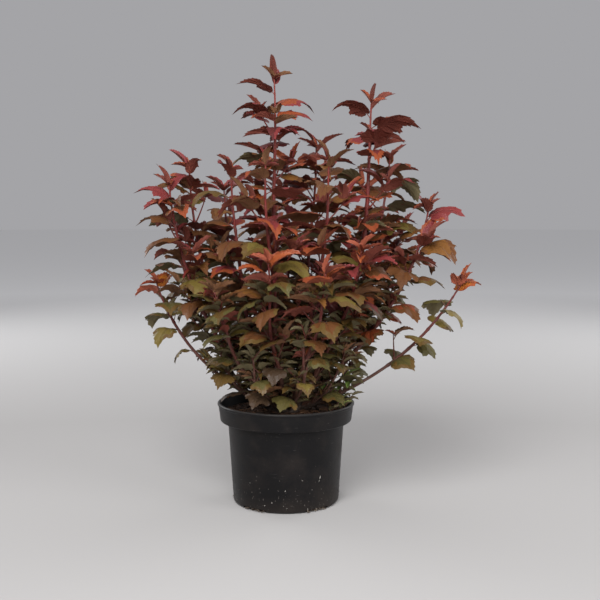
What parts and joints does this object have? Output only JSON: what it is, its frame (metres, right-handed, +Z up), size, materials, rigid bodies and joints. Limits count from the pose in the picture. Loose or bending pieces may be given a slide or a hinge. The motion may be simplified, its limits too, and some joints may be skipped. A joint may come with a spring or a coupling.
{
  "type": "potted ninebark shrub",
  "caption": "Bushy ninebark shrub with upright red canes and burgundy, bronze and olive lobed leaves, standing in its soil-filled round plastic nursery pot.",
  "frame": {"origin": "middle of the pot's flat underside, on the pot's axis", "axes": "+Z up along the pot's axis and the main canes; -Y towards the crown's front, the side in the picture; +X to the right of that view"},
  "size_m": [0.6706, 0.5394, 0.8619],
  "materials": {
    "pot": "black moulded plastic, satin, dusty and lightly scuffed",
    "soil": "dark crumbly peat and bark litter, matt",
    "old_wood": "grey-brown flaking bark, matt",
    "bark": "wine-red to brown young bark with pale pores, satin",
    "foliage_burgundy": "dark red leaves, soft sheen",
    "foliage_bronze": "bronze leaves, soft sheen",
    "foliage_olive": "olive green leaves, soft sheen"
  },
  "bodies": {
    "root": {"pot": "pot", "soil": "soil", "stool": "old_wood", "cane_01": "bark", "cane_02": "bark", "cane_03": "bark", "cane_04": "bark", "cane_05": "bark", "cane_06": "bark", "cane_07": "bark", "cane_08": "bark", "cane_09": "bark", "cane_10": "bark", "cane_11": "bark", "cane_12": "bark", "cane_13": "bark", "cane_14": "bark", "cane_15": "bark", "cane_16": "bark", "cane_17": "bark", "cane_18": "bark", "cane_19": "bark", "cane_20": "bark", "cane_21": "bark", "cane_22": "bark", "cane_23": "bark", "leaves_01": "foliage_burgundy", "leaves_02": "foliage_burgundy", "leaves_03": "foliage_burgundy", "leaves_04": "foliage_bronze", "leaves_05": "foliage_olive", "leaves_06": "foliage_bronze", "leaves_07": "foliage_burgundy", "leaves_08": "foliage_burgundy", "leaves_09": "foliage_burgundy", "leaves_10": "foliage_burgundy", "leaves_11": "foliage_olive", "leaves_12": "foliage_burgundy", "leaves_13": "foliage_burgundy", "leaves_14": "foliage_burgundy", "leaves_15": "foliage_bronze", "leaves_16": "foliage_bronze", "leaves_17": "foliage_bronze", "leaves_18": "foliage_burgundy", "leaves_19": "foliage_bronze", "leaves_20": "foliage_olive", "leaves_21": "foliage_olive", "leaves_22": "foliage_olive", "leaves_23": "foliage_olive", "skirt_1": "foliage_olive", "skirt_2": "foliage_olive", "skirt_3": "foliage_olive", "skirt_4": "foliage_olive", "skirt_5": "foliage_olive", "skirt_6": "foliage_olive", "skirt_7": "foliage_olive", "skirt_8": "foliage_olive", "skirt_9": "foliage_olive"}
  },
  "joints": []
}
